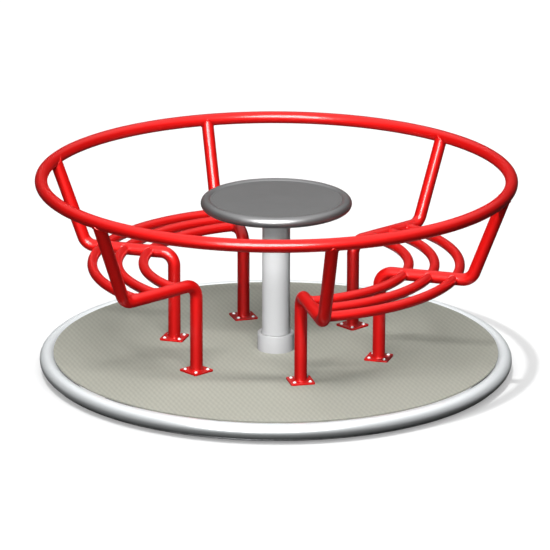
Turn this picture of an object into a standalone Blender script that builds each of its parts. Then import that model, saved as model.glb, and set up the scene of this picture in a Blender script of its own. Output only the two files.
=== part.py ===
"""Playground roundabout with two curved benches, a ring handrail and a fixed table.

The frame has +Z up and its origin on the ground, on the axis that the platform
turns about. The benches are centred on +X and -X, and riders step on between
them, from -Y or +Y. Everything is in metres.
"""

import math

import bmesh
import bpy
from mathutils import Matrix, Vector

# Gaps between pieces
SEAT_GAP = 0.0003           # between pieces that rest on or are welded to each other
BEARING_GAP = 0.001         # between the hub's bore and the post it turns on

# Platform
PLATFORM_RADIUS = 0.800
RIM_TUBE_RADIUS = 0.026
DECK_TOP = 0.064
DECK_RADIUS = 0.753
DECK_THICKNESS = 0.006
BASE_RING_THICKNESS = 0.005
BASE_RING_INNER_RADIUS = 0.700
BASE_RING_OUTER_RADIUS = 0.779
BEAM_WIDTH = 0.040

# Fixed ground gear, post and table
GROUND_PLATE_RADIUS = 0.300
GROUND_PLATE_THICKNESS = 0.006
POST_RADIUS = 0.047
BEARING_RING_RADIUS = 0.074
COLLAR_RADIUS = 0.062
COLLAR_HEIGHT = 0.060
COLLAR_CHAMFER = 0.003
TABLE_RADIUS = 0.254
TABLE_ROLL_RADIUS = 0.019
TABLE_ROLL_HEIGHT = 0.513   # roll's centreline above the deck
TABLE_PANEL_RISE = 0.014    # panel's top above the roll's centreline
TABLE_PANEL_THICKNESS = 0.008
TABLE_FLANGE_RADIUS = 0.090
TABLE_FLANGE_THICKNESS = 0.008

# Supports, benches and handrail
SUPPORT_TUBE_RADIUS = 0.0212
SUPPORT_BEND_RADIUS = 0.045
FOOT_RADIUS = 0.362         # leg's axis from the platform's axis
SEAT_HEIGHT = 0.304         # rails' axes above the deck
SEAT_CORNER_RADIUS = 0.677  # where the seat member's and the upright's axes cross
FOOT_PLATE_WIDTH = 0.082
FOOT_PLATE_THICKNESS = 0.006
FOOT_PLATE_CORNER = 0.006
RAIL_TUBE_RADIUS = 0.01685
RAIL_ROWS = {"inner": 0.447, "middle": 0.534, "outer": 0.619}
RING_RADIUS = 0.787
RING_TUBE_RADIUS = 0.0212
RING_HEIGHT = 0.599         # handrail's axis above the deck

# Where each support stands, in degrees from +X. The rear entrance is the wider one.
SUPPORT_ANGLES = {
    "right_middle": 0,
    "right_rear": 60,
    "left_rear": 125,
    "left_middle": 180,
    "left_front": 240,
    "right_front": 300,
}
# Each bay of rails runs between two supports of one bench
BAYS = {
    "right_rear_bay": ("right_middle", "right_rear"),
    "left_rear_bay": ("left_rear", "left_middle"),
    "left_front_bay": ("left_middle", "left_front"),
    "right_front_bay": ("right_front", "right_middle"),
}

# Fineness of the round shapes
RING_SEGMENTS = 72
COPE_SEGMENTS = 144
TUBE_SIDES = 12
DISC_SEGMENTS = 72
TABLE_SEGMENTS = 48
POST_SEGMENTS = 36
BEND_STEPS = 6
RAIL_STEPS = 8
PANEL_EDGE_STEPS = 4
SMOOTH_ANGLE = math.radians(40)

# Heights that follow from the sizes above
RIM_CENTRE_HEIGHT = DECK_TOP - RIM_TUBE_RADIUS
BASE_RING_TOP = DECK_TOP - 2 * RIM_TUBE_RADIUS - SEAT_GAP
BEAM_TOP = DECK_TOP - DECK_THICKNESS - SEAT_GAP
BEAM_BOTTOM = BASE_RING_TOP + SEAT_GAP
FOOT_PLATE_BOTTOM = DECK_TOP + SEAT_GAP
SUPPORT_BOTTOM = FOOT_PLATE_BOTTOM + FOOT_PLATE_THICKNESS + SEAT_GAP
TABLE_ROLL_CENTRE = DECK_TOP + TABLE_ROLL_HEIGHT
TABLE_PANEL_TOP = TABLE_ROLL_CENTRE + TABLE_PANEL_RISE
TABLE_PANEL_BOTTOM = TABLE_PANEL_TOP - TABLE_PANEL_THICKNESS
FLANGE_TOP = TABLE_PANEL_BOTTOM - SEAT_GAP
POST_TOP = FLANGE_TOP - TABLE_FLANGE_THICKNESS - SEAT_GAP
POST_BOTTOM = GROUND_PLATE_THICKNESS + SEAT_GAP
HUB_BORE_RADIUS = POST_RADIUS + BEARING_GAP


def clear_scene():
    """Remove whatever the opened file holds."""
    for old in list(bpy.data.objects):
        bpy.data.objects.remove(old, do_unlink=True)


def make_material(name, colour, roughness, metallic):
    """A Principled finish with one colour."""
    material = bpy.data.materials.new(name)
    material.use_nodes = True
    shader = material.node_tree.nodes["Principled BSDF"]
    shader.inputs["Base Color"].default_value = (*colour, 1.0)
    shader.inputs["Roughness"].default_value = roughness
    shader.inputs["Metallic"].default_value = metallic
    return material


def add_empty(name):
    """An empty on the platform's axis, which carries the pieces of one body."""
    empty = bpy.data.objects.new(name, None)
    bpy.context.collection.objects.link(empty)
    return empty


def add_piece(name, mesh, parent, material, turn=0.0):
    """Link a named piece, turned about the platform's axis by a number of degrees."""
    piece = bpy.data.objects.new(name, mesh)
    bpy.context.collection.objects.link(piece)
    piece.parent = parent
    piece.rotation_euler.z = math.radians(turn)
    if not mesh.materials:
        mesh.materials.append(material)
    return piece


def add_cutter(name, mesh, turn=0.0):
    """A tool for Boolean cuts: never rendered, and drawn as wire."""
    cutter = bpy.data.objects.new(name, mesh)
    bpy.context.collection.objects.link(cutter)
    cutter.rotation_euler.z = math.radians(turn)
    cutter.hide_render = True
    cutter.display_type = "WIRE"
    return cutter


def cut(piece, cutter):
    """Cope a piece where it meets its neighbour."""
    cope = piece.modifiers.new("Cope", "BOOLEAN")
    cope.operation = "DIFFERENCE"
    cope.object = cutter


def finish_mesh(bm, name):
    """Turn a bmesh into a mesh with outward faces and smooth round sides."""
    bmesh.ops.remove_doubles(bm, verts=bm.verts, dist=1e-6)
    bmesh.ops.recalc_face_normals(bm, faces=bm.faces)
    mesh = bpy.data.meshes.new(name)
    bm.to_mesh(mesh)
    bm.free()
    mesh.shade_smooth()
    mesh.set_sharp_from_angle(angle=SMOOTH_ANGLE)
    return mesh


def turned_mesh(name, profile, segments):
    """Spin a closed (radius, height) profile about the platform's axis."""
    bm = bmesh.new()
    verts = [bm.verts.new((radius, 0.0, height)) for radius, height in profile]
    edges = [bm.edges.new((verts[i - 1], verts[i])) for i in range(len(verts))]
    bmesh.ops.spin(
        bm,
        geom=verts + edges,
        cent=(0, 0, 0),
        axis=(0, 0, 1),
        angle=math.tau,
        steps=segments,
        use_merge=True,
    )
    return finish_mesh(bm, name)


def annulus_profile(inner, outer, bottom, top):
    """The section of a flat ring, or of a plain sleeve."""
    return [(inner, bottom), (outer, bottom), (outer, top), (inner, top)]


def circle_profile(centre_radius, centre_height, radius, sides):
    """The round section of a bent ring, with corners at its widest and its top."""
    steps = [math.tau * i / sides for i in range(sides)]
    return [(centre_radius + radius * math.cos(a), centre_height + radius * math.sin(a)) for a in steps]


def disc_mesh(name, radius, bottom, top, segments):
    """A solid disc or post that stands on the platform's axis."""
    bm = bmesh.new()
    bmesh.ops.create_cone(
        bm,
        cap_ends=True,
        segments=segments,
        radius1=radius,
        radius2=radius,
        depth=top - bottom,
    )
    bmesh.ops.translate(bm, verts=bm.verts, vec=(0, 0, (top + bottom) / 2))
    return finish_mesh(bm, name)


def tube_mesh(name, path, radius):
    """A round bar along a path, closed at both ends."""
    curve = bpy.data.curves.new(name, "CURVE")
    curve.dimensions = "3D"
    curve.bevel_depth = radius
    curve.bevel_resolution = (TUBE_SIDES - 4) // 2
    curve.use_fill_caps = True
    spline = curve.splines.new("POLY")
    spline.points.add(len(path) - 1)
    for point, place in zip(spline.points, path):
        point.co = (*place, 1.0)
    guide = bpy.data.objects.new(name, curve)
    bpy.context.collection.objects.link(guide)
    depsgraph = bpy.context.evaluated_depsgraph_get()
    swept = bpy.data.meshes.new_from_object(guide.evaluated_get(depsgraph))
    bm = bmesh.new()
    bm.from_mesh(swept)
    bpy.data.objects.remove(guide, do_unlink=True)
    bpy.data.meshes.remove(swept)
    return finish_mesh(bm, name)


def bend(before, corner, after, radius):
    """Points on the arc that rounds one corner of a bent tube's axis."""
    into = (corner - before).normalized()
    out_of = (after - corner).normalized()
    turn = into.angle(out_of)
    inward = (out_of - into * math.cos(turn)).normalized()
    centre = corner - into * radius * math.tan(turn / 2) + inward * radius
    angles = [turn * i / BEND_STEPS for i in range(BEND_STEPS + 1)]
    return [centre - inward * radius * math.cos(a) + into * radius * math.sin(a) for a in angles]


def support_path():
    """Axis of one support in the plane y = 0: leg, seat member and leaning upright."""
    foot = Vector((FOOT_RADIUS, 0, SUPPORT_BOTTOM))
    knee = Vector((FOOT_RADIUS, 0, DECK_TOP + SEAT_HEIGHT))
    corner = Vector((SEAT_CORNER_RADIUS, 0, DECK_TOP + SEAT_HEIGHT))
    top = Vector((RING_RADIUS, 0, DECK_TOP + RING_HEIGHT))
    knee_bend = bend(foot, knee, corner, SUPPORT_BEND_RADIUS)
    corner_bend = bend(knee, corner, top, SUPPORT_BEND_RADIUS)
    return [foot, *knee_bend, *corner_bend, top]


def rail_path(radius, bay_angle):
    """Axis of one rail's arc, from inside the seat member at +X into the next one."""
    start = SUPPORT_TUBE_RADIUS / 4 / radius
    sweep = math.radians(bay_angle) - 2 * start
    angles = [start + sweep * i / RAIL_STEPS for i in range(RAIL_STEPS + 1)]
    height = DECK_TOP + SEAT_HEIGHT
    return [Vector((radius * math.cos(a), radius * math.sin(a), height)) for a in angles]


def foot_plate_mesh():
    """A square plate with clipped corners, under a support's leg."""
    bm = bmesh.new()
    bmesh.ops.create_cube(bm, size=1.0)
    bmesh.ops.scale(bm, verts=bm.verts, vec=(FOOT_PLATE_WIDTH, FOOT_PLATE_WIDTH, FOOT_PLATE_THICKNESS))
    upright_edges = [edge for edge in bm.edges if abs(edge.verts[0].co.z - edge.verts[1].co.z) > SEAT_GAP]
    bmesh.ops.bevel(bm, geom=upright_edges, offset=FOOT_PLATE_CORNER, segments=2, profile=0.5, affect="EDGES")
    centre = (FOOT_RADIUS, 0, FOOT_PLATE_BOTTOM + FOOT_PLATE_THICKNESS / 2)
    bmesh.ops.translate(bm, verts=bm.verts, vec=centre)
    return finish_mesh(bm, "foot_plate")


def beam_mesh():
    """A box beam from the hub out to the rim tube's inner side."""
    start = COLLAR_RADIUS + SEAT_GAP
    rim_inside = (PLATFORM_RADIUS - 2 * RIM_TUBE_RADIUS) * math.cos(math.pi / RING_SEGMENTS)
    end = math.sqrt(rim_inside**2 - (BEAM_WIDTH / 2) ** 2) - SEAT_GAP
    bm = bmesh.new()
    bmesh.ops.create_cube(bm, size=1.0)
    bmesh.ops.scale(bm, verts=bm.verts, vec=(end - start, BEAM_WIDTH, BEAM_TOP - BEAM_BOTTOM))
    bmesh.ops.translate(bm, verts=bm.verts, vec=((start + end) / 2, 0, (BEAM_TOP + BEAM_BOTTOM) / 2))
    return finish_mesh(bm, "deck_beam")


def ring_cope_mesh():
    """The handrail's tube plus a welding gap, which shapes the uprights' tops.

    Its cutter is turned by half a segment, so that its creases miss the uprights' own.
    """
    sides = 2 * TUBE_SIDES
    radius = (RING_TUBE_RADIUS + SEAT_GAP) / math.cos(math.pi / sides)
    profile = circle_profile(RING_RADIUS, DECK_TOP + RING_HEIGHT, radius, sides)
    return turned_mesh("ring_cope", profile, COPE_SEGMENTS)


def seat_member_cope_mesh():
    """A support's seat member plus a welding gap, which shapes the rails' ends.

    It is turned by half a side about its axis, so that a flat side meets each rail's middle.
    """
    sides = 2 * TUBE_SIDES
    radius = (SUPPORT_TUBE_RADIUS + SEAT_GAP) / math.cos(math.pi / sides)
    bm = bmesh.new()
    bmesh.ops.create_cone(
        bm,
        cap_ends=True,
        segments=sides,
        radius1=radius,
        radius2=radius,
        depth=SEAT_CORNER_RADIUS - FOOT_RADIUS,
    )
    half_side = Matrix.Rotation(math.pi / sides, 3, "Z")
    quarter_turn = Matrix.Rotation(math.pi / 2, 3, "Y")
    bmesh.ops.rotate(bm, verts=bm.verts, cent=(0, 0, 0), matrix=quarter_turn @ half_side)
    centre = ((SEAT_CORNER_RADIUS + FOOT_RADIUS) / 2, 0, DECK_TOP + SEAT_HEIGHT)
    bmesh.ops.translate(bm, verts=bm.verts, vec=centre)
    return finish_mesh(bm, "seat_member_cope")


def make_ground_gear(base, steel):
    """The fixed plate that stands on the ground, and the ring the hub turns on."""
    plate = disc_mesh("ground_plate", GROUND_PLATE_RADIUS, 0.0, GROUND_PLATE_THICKNESS, DISC_SEGMENTS)
    add_piece("ground_plate", plate, base, steel)
    ring_profile = annulus_profile(
        POST_RADIUS + SEAT_GAP,
        BEARING_RING_RADIUS,
        GROUND_PLATE_THICKNESS + SEAT_GAP,
        BEAM_BOTTOM - SEAT_GAP,
    )
    add_piece("bearing_ring", turned_mesh("bearing_ring", ring_profile, POST_SEGMENTS), base, steel)


def make_post_and_table(base, post_paint, panel_grey, roll_grey):
    """The fixed centre post and the round table that riders pull on."""
    post = disc_mesh("centre_post", POST_RADIUS, POST_BOTTOM, POST_TOP, POST_SEGMENTS)
    add_piece("centre_post", post, base, post_paint)
    flange_bottom = FLANGE_TOP - TABLE_FLANGE_THICKNESS
    flange = disc_mesh("table_flange", TABLE_FLANGE_RADIUS, flange_bottom, FLANGE_TOP, POST_SEGMENTS)
    add_piece("table_flange", flange, base, post_paint)

    roll_centre_radius = TABLE_RADIUS - TABLE_ROLL_RADIUS
    roll = circle_profile(roll_centre_radius, TABLE_ROLL_CENTRE, TABLE_ROLL_RADIUS, TUBE_SIDES)
    add_piece("table_rim", turned_mesh("table_rim", roll, TABLE_SEGMENTS), base, roll_grey)

    # The panel's edge follows the inside of the roll, bottom to top
    reach = TABLE_ROLL_RADIUS + SEAT_GAP
    panel_profile = [(0.0, TABLE_PANEL_TOP), (0.0, TABLE_PANEL_BOTTOM)]
    for step in range(PANEL_EDGE_STEPS + 1):
        rise = TABLE_PANEL_RISE - TABLE_PANEL_THICKNESS * (1 - step / PANEL_EDGE_STEPS)
        edge_radius = roll_centre_radius - math.sqrt(reach**2 - rise**2)
        panel_profile.append((edge_radius, TABLE_ROLL_CENTRE + rise))
    add_piece("table_panel", turned_mesh("table_panel", panel_profile, TABLE_SEGMENTS), base, panel_grey)


def make_platform(platform, rim_metal, deck_grey, steel, post_paint):
    """The turning deck with its rim, its underframe and the hub's collar."""
    rim_profile = circle_profile(
        PLATFORM_RADIUS - RIM_TUBE_RADIUS, RIM_CENTRE_HEIGHT, RIM_TUBE_RADIUS, TUBE_SIDES
    )
    add_piece("rim_tube", turned_mesh("rim_tube", rim_profile, RING_SEGMENTS), platform, rim_metal)

    base_ring = annulus_profile(
        BASE_RING_INNER_RADIUS,
        BASE_RING_OUTER_RADIUS,
        BASE_RING_TOP - BASE_RING_THICKNESS,
        BASE_RING_TOP,
    )
    add_piece("base_ring", turned_mesh("base_ring", base_ring, DISC_SEGMENTS), platform, steel)

    deck = annulus_profile(COLLAR_RADIUS + SEAT_GAP, DECK_RADIUS, DECK_TOP - DECK_THICKNESS, DECK_TOP)
    add_piece("deck_panel", turned_mesh("deck_panel", deck, DISC_SEGMENTS), platform, deck_grey)

    collar_top = DECK_TOP + COLLAR_HEIGHT
    collar = [
        (HUB_BORE_RADIUS, BEAM_BOTTOM),
        (COLLAR_RADIUS, BEAM_BOTTOM),
        (COLLAR_RADIUS, collar_top - COLLAR_CHAMFER),
        (COLLAR_RADIUS - COLLAR_CHAMFER, collar_top),
        (HUB_BORE_RADIUS, collar_top),
    ]
    add_piece("hub_collar", turned_mesh("hub_collar", collar, DISC_SEGMENTS), platform, post_paint)

    beam = beam_mesh()
    for place, angle in SUPPORT_ANGLES.items():
        add_piece(f"deck_beam_{place}", beam, platform, steel, turn=angle)


def make_supports(platform, red_paint):
    """The six bent supports on their foot plates, each welded under the handrail."""
    ring_cope = add_cutter("ring_cope", ring_cope_mesh(), turn=180 / COPE_SEGMENTS)
    support = tube_mesh("support", support_path(), SUPPORT_TUBE_RADIUS)
    foot_plate = foot_plate_mesh()
    for place, angle in SUPPORT_ANGLES.items():
        cut(add_piece(f"support_{place}", support, platform, red_paint, turn=angle), ring_cope)
        add_piece(f"foot_plate_{place}", foot_plate, platform, red_paint, turn=angle)


def make_rails(platform, red_paint):
    """Three curved rails in each bay, coped to the seat members at both ends."""
    member_cope = seat_member_cope_mesh()
    copes = {place: add_cutter(f"cope_{place}", member_cope, angle) for place, angle in SUPPORT_ANGLES.items()}
    for bay, (start, end) in BAYS.items():
        bay_angle = (SUPPORT_ANGLES[end] - SUPPORT_ANGLES[start]) % 360
        for row, radius in RAIL_ROWS.items():
            name = f"rail_{row}_{bay}"
            rail = tube_mesh(name, rail_path(radius, bay_angle), RAIL_TUBE_RADIUS)
            piece = add_piece(name, rail, platform, red_paint, turn=SUPPORT_ANGLES[start])
            cut(piece, copes[start])
            cut(piece, copes[end])


def make_handrail(platform, red_paint):
    """The closed ring that the supports carry."""
    profile = circle_profile(RING_RADIUS, DECK_TOP + RING_HEIGHT, RING_TUBE_RADIUS, TUBE_SIDES)
    add_piece("top_ring", turned_mesh("top_ring", profile, RING_SEGMENTS), platform, red_paint)


def main():
    clear_scene()
    red_paint = make_material("red_paint", (0.80, 0.012, 0.010), 0.25, 0.0)
    rim_metal = make_material("rim_metal", (0.72, 0.73, 0.75), 0.28, 0.9)
    deck_grey = make_material("deck_grey", (0.50, 0.49, 0.43), 0.75, 0.0)
    steel = make_material("steel", (0.42, 0.43, 0.44), 0.50, 0.9)
    post_paint = make_material("post_paint", (0.68, 0.69, 0.71), 0.40, 0.2)
    panel_grey = make_material("panel_grey", (0.19, 0.19, 0.19), 0.55, 0.0)
    roll_grey = make_material("roll_grey", (0.20, 0.20, 0.20), 0.30, 0.3)

    base = add_empty("base")
    platform = add_empty("platform")
    make_ground_gear(base, steel)
    make_post_and_table(base, post_paint, panel_grey, roll_grey)
    make_platform(platform, rim_metal, deck_grey, steel, post_paint)
    make_supports(platform, red_paint)
    make_rails(platform, red_paint)
    make_handrail(platform, red_paint)


main()
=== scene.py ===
# %% [markdown]
# A playground roundabout
#
# This lesson gives a small playground roundabout its looks. The real one is 1.6 m across:
# a round platform that turns about a fixed post, with red tube benches, a ring handrail
# and a small table in the middle. A CAD frame already holds every part at its real size
# and place, so each new piece is modelled over the solid that it stands for.
#
# Before each step a few sentences say what the piece is, how it could be made, and why
# this way was chosen. All lengths are in metres.

# %% Load the frame
import math

import bmesh
import bpy
from mathutils import Matrix, Vector


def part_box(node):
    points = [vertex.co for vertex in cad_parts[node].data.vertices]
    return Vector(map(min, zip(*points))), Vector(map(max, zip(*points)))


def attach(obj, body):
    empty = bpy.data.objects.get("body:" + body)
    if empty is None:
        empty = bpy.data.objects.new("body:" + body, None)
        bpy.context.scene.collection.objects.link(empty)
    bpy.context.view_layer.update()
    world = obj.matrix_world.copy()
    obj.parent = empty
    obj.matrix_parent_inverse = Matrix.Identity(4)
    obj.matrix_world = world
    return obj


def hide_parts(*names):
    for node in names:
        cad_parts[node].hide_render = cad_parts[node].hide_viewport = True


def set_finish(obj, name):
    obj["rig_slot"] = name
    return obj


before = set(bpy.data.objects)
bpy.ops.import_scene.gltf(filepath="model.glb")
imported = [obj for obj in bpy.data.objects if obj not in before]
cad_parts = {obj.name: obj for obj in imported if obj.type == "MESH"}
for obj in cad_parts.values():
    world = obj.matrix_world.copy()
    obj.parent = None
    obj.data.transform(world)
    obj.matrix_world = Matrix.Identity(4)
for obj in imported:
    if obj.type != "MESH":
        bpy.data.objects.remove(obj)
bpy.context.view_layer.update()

# %% [markdown]
# The camera
#
# A camera can be placed by eye, or worked out. Here it is worked out: it looks at a point
# on the platform's axis from a known direction, with a long lens from far away, which is
# how product pictures keep circles close to true ellipses. Its three axes are written down
# first, and they then make its rotation.

# %% Place the camera
CAMERA_DISTANCE = 13.6
CAMERA_AZIMUTH = math.radians(16.87)
CAMERA_ELEVATION = math.radians(17.25)
CAMERA_ROLL = 0.0034
CAMERA_SIDESTEP = -0.0036
CAMERA_AIM_HEIGHT = 0.3234
CAMERA_LENS = 263.9
CAMERA_REACH = 100

across = Vector((math.cos(CAMERA_AZIMUTH), math.sin(CAMERA_AZIMUTH), 0))
level_back = Vector((math.sin(CAMERA_AZIMUTH), -math.cos(CAMERA_AZIMUTH), 0))
backward = level_back * math.cos(CAMERA_ELEVATION) + Vector((0, 0, math.sin(CAMERA_ELEVATION)))
upward = backward.cross(across)
aim = across * CAMERA_SIDESTEP + Vector((0, 0, CAMERA_AIM_HEIGHT))

bpy.ops.object.camera_add(location=aim + backward * CAMERA_DISTANCE)
camera = bpy.context.object
camera.name = "camera"
camera_turn = Matrix((across, upward, backward)).transposed() @ Matrix.Rotation(CAMERA_ROLL, 3, "Z")
camera.rotation_euler = camera_turn.to_euler()
camera.data.lens = CAMERA_LENS
camera.data.clip_end = CAMERA_REACH
bpy.context.scene.camera = camera
print("camera at", [round(place, 3) for place in camera.location])

# %% [markdown]
# Helpers for modelling
#
# Every piece goes through the same three moves of the hand. A primitive is added and its
# place is put into its mesh, so that sums of places hold in edit mode too. Edges or faces
# are picked by where they lie. At the end doubles are merged, faces are turned outwards
# and round sides are smoothed, while real edges stay crisp.

# %% Start, pick and finish
QUARTER_TURN = math.pi / 2
MERGE_DISTANCE = 0.00001
CREASE = math.radians(35)
FLAT_ENOUGH = 0.9
CORNER_STEPS = 5
EDGE_STEPS = 3
SMALL_EDGE_STEPS = 2


def start_from(add_primitive, stretch=(1, 1, 1), **settings):
    """Add a primitive, put its place into its mesh and open it with all of it selected."""
    bpy.ops.object.select_all(action="DESELECT")
    add_primitive(**settings)
    bpy.context.object.scale = stretch
    bpy.ops.object.transform_apply(location=True, rotation=True, scale=True)
    bpy.ops.object.mode_set(mode="EDIT")
    bpy.ops.mesh.select_all(action="SELECT")


def pick(kind, test):
    """In edit mode, select the vertices, edges or faces that pass a test, and no others."""
    bpy.ops.mesh.select_all(action="DESELECT")
    bpy.ops.mesh.select_mode(type=kind)
    shape = bmesh.from_edit_mesh(bpy.context.object.data)
    parts = {"VERT": shape.verts, "EDGE": shape.edges, "FACE": shape.faces}[kind]
    chosen = [part for part in parts if test(part)]
    for part in chosen:
        part.select_set(True)
    bmesh.update_edit_mesh(bpy.context.object.data)


def finish_piece(name):
    """Close the editing of a piece: merge, face outwards, smooth and name it."""
    bpy.ops.mesh.select_all(action="SELECT")
    bpy.ops.mesh.remove_doubles(threshold=MERGE_DISTANCE)
    bpy.ops.mesh.normals_make_consistent(inside=False)
    bpy.ops.object.mode_set(mode="OBJECT")
    bpy.ops.object.shade_smooth_by_angle(angle=CREASE)
    piece = bpy.context.object
    piece.name = name
    piece.data.name = name
    return piece


# %% Copy, turn and join
def turned_copy(piece, name, degrees):
    """A copy with its own mesh, turned about the platform's axis."""
    copy = piece.copy()
    copy.data = piece.data.copy()
    copy.data.transform(Matrix.Rotation(math.radians(degrees), 4, "Z"))
    copy.name = name
    copy.data.name = name
    bpy.context.collection.objects.link(copy)
    return copy


def join_into(piece, others):
    """Make several meshes one piece, which keeps the first one's name."""
    bpy.ops.object.select_all(action="DESELECT")
    for part in (piece, *others):
        part.select_set(True)
    bpy.context.view_layer.objects.active = piece
    bpy.ops.object.join()
    return piece


def cut_away(piece, tool):
    """Cut a tool's shape out of a piece, then throw the tool away."""
    bpy.ops.object.select_all(action="DESELECT")
    piece.select_set(True)
    bpy.context.view_layer.objects.active = piece
    cope = piece.modifiers.new("cope", "BOOLEAN")
    cope.operation = "DIFFERENCE"
    cope.solver = "EXACT"
    cope.object = tool
    bpy.ops.object.modifier_apply(modifier=cope.name)
    bpy.ops.object.shade_smooth_by_angle(angle=CREASE)
    bpy.data.objects.remove(tool, do_unlink=True)


# %% Hang a finished piece on the frame
dressed = []


def hang(piece, body, slot, *nodes):
    """Let a piece ride on a body, name its finish, and hide the solids it stands for."""
    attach(piece, body)
    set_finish(piece, slot)
    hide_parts(*nodes)
    dressed.append(piece)
    faces = len(piece.data.polygons)
    print(f"{piece.name}: {faces} faces, {[round(side, 4) for side in piece.dimensions]}")


# %% [markdown]
# Round tubes bent into rings
#
# The handrail, the platform's rim and the table's rolled edge are all tubes bent into a
# closed ring. A torus primitive would give the shape at once, but nothing could be added
# to its section. Here the section is drawn as a circle and spun about the axis, which is
# the same move as a bending machine makes, and it serves every ring in this lesson.

# %% Spin a tube section into a ring
RING_STEPS = 192
TUBE_SIDES = 24

DECK_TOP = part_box("deck_panel")[1].z
HANDRAIL_TUBE = 0.0212
HANDRAIL_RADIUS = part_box("top_ring")[1].x - HANDRAIL_TUBE
HANDRAIL_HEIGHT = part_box("top_ring")[1].z - HANDRAIL_TUBE
RIM_TUBE = 0.026
RIM_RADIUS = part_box("rim_tube")[1].x - RIM_TUBE
RIM_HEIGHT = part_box("rim_tube")[1].z - RIM_TUBE
ROLL_TUBE = 0.019
ROLL_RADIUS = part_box("table_rim")[1].x - ROLL_TUBE
ROLL_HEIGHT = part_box("table_rim")[1].z - ROLL_TUBE


def tube_ring(name, ring_radius, height, tube_radius):
    """A closed ring of round tube about the platform's axis."""
    start_from(
        bpy.ops.mesh.primitive_circle_add,
        vertices=TUBE_SIDES,
        radius=tube_radius,
        fill_type="NOTHING",
        location=(ring_radius, 0, height),
        rotation=(QUARTER_TURN, 0, 0),
    )
    bpy.ops.mesh.spin(steps=RING_STEPS, angle=math.tau, center=(0, 0, 0), axis=(0, 0, 1))
    return finish_piece(name)


handrail = tube_ring("handrail", HANDRAIL_RADIUS, HANDRAIL_HEIGHT, HANDRAIL_TUBE)
hang(handrail, "platform", "red_paint", "top_ring")
rim = tube_ring("platform_rim", RIM_RADIUS, RIM_HEIGHT, RIM_TUBE)
hang(rim, "platform", "rim_metal", "rim_tube")
roll = tube_ring("table_roll", ROLL_RADIUS, ROLL_HEIGHT, ROLL_TUBE)
hang(roll, "base", "table_roll", "table_rim")

# %% [markdown]
# Bent supports
#
# Each support is one piece of tube with two bends: a leg up from the deck, a seat member
# that runs outwards, and an upright that leans out to the handrail. A curve with a bevel
# would follow the same path, but the mesh way shows what happens on the bending bench:
# the end loop is extruded along each straight, and spun about the centre of each bend.
# The spin operator counts its angle clockwise about the axis that it is given.

# %% Bend one support
SUPPORT_TUBE = 0.0212
BEND_RADIUS = 0.045
BEND_STEPS = 12
LEG_RADIUS = 0.362
SEAT_CORNER_RADIUS = 0.677
SEAT_HEIGHT = DECK_TOP + 0.304
PLATE_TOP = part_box("foot_plate_right_middle")[1].z
LEG_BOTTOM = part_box("support_right_middle")[0].z

lean = Vector((HANDRAIL_RADIUS - SEAT_CORNER_RADIUS, 0, HANDRAIL_HEIGHT - SEAT_HEIGHT))
lean_angle = math.atan2(lean.z, lean.x)
corner_setback = BEND_RADIUS * math.tan(lean_angle / 2)
corner_end = Vector((SEAT_CORNER_RADIUS, 0, SEAT_HEIGHT)) + lean.normalized() * corner_setback
upright_end = Vector((HANDRAIL_RADIUS, 0, HANDRAIL_HEIGHT))


def extrude_by(move):
    """Extrude the selected end loop along a straight."""
    bpy.ops.mesh.extrude_region_move(TRANSFORM_OT_translate={"value": tuple(move)})


start_from(
    bpy.ops.mesh.primitive_circle_add,
    vertices=TUBE_SIDES,
    radius=SUPPORT_TUBE,
    fill_type="NOTHING",
    location=(LEG_RADIUS, 0, LEG_BOTTOM),
)
extrude_by((0, 0, SEAT_HEIGHT - BEND_RADIUS - LEG_BOTTOM))
knee_centre = (LEG_RADIUS + BEND_RADIUS, 0, SEAT_HEIGHT - BEND_RADIUS)
bpy.ops.mesh.spin(steps=BEND_STEPS, angle=-QUARTER_TURN, center=knee_centre, axis=(0, 1, 0))
extrude_by((SEAT_CORNER_RADIUS - corner_setback - LEG_RADIUS - BEND_RADIUS, 0, 0))
corner_centre = (SEAT_CORNER_RADIUS - corner_setback, 0, SEAT_HEIGHT + BEND_RADIUS)
bpy.ops.mesh.spin(steps=BEND_STEPS, angle=lean_angle, center=corner_centre, axis=(0, 1, 0))
extrude_by(upright_end - corner_end)
bpy.ops.mesh.select_all(action="SELECT")
bpy.ops.mesh.fill_holes(sides=0)
support = finish_piece("support")
print("support reaches", [round(side, 4) for side in support.dimensions])

# %% [markdown]
# Coped ends and weld beads
#
# A tube that meets another is cut to a saddle, and a bead of weld closes the joint. The
# saddle is a Boolean cut with the neighbour's own shape, made a hair smaller so that the
# end sits in it. After a cut the tube is smoothed by angle again, to keep the new edge
# crisp. The bead follows the line where the two surfaces cross, which can be worked out
# for two round tubes. A thin curve along the line gets its ripple from the radius of its
# points. It then becomes a mesh and joins its tube, because paint covers both in one
# coat.

# %% Draw a weld bead
WELD_SINK = 0.0002
BEAD_RADIUS = 0.0028
BEAD_INSET = 0.0036
BEAD_RIPPLE = 0.16
BEAD_POINTS = 56
BEAD_SIDE_STEPS = 2


def round_steps():
    """The angles of the points round a weld."""
    return [math.tau * step / BEAD_POINTS for step in range(BEAD_POINTS)]


def weld_bead(path):
    """A rippled bead of weld metal along a closed line of points."""
    line = bpy.data.curves.new("bead", "CURVE")
    line.dimensions = "3D"
    line.bevel_depth = BEAD_RADIUS
    line.bevel_resolution = BEAD_SIDE_STEPS
    spline = line.splines.new("POLY")
    spline.points.add(len(path) - 1)
    spline.use_cyclic_u = True
    for step, (point, place) in enumerate(zip(spline.points, path)):
        point.co = (*place, 1)
        point.radius = 1 - BEAD_RIPPLE * (step % 2)
    bead = bpy.data.objects.new("bead", line)
    bpy.context.collection.objects.link(bead)
    bpy.ops.object.select_all(action="DESELECT")
    bead.select_set(True)
    bpy.context.view_layer.objects.active = bead
    bpy.ops.object.convert(target="MESH")
    bpy.ops.object.shade_smooth()
    return bpy.context.object


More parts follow.
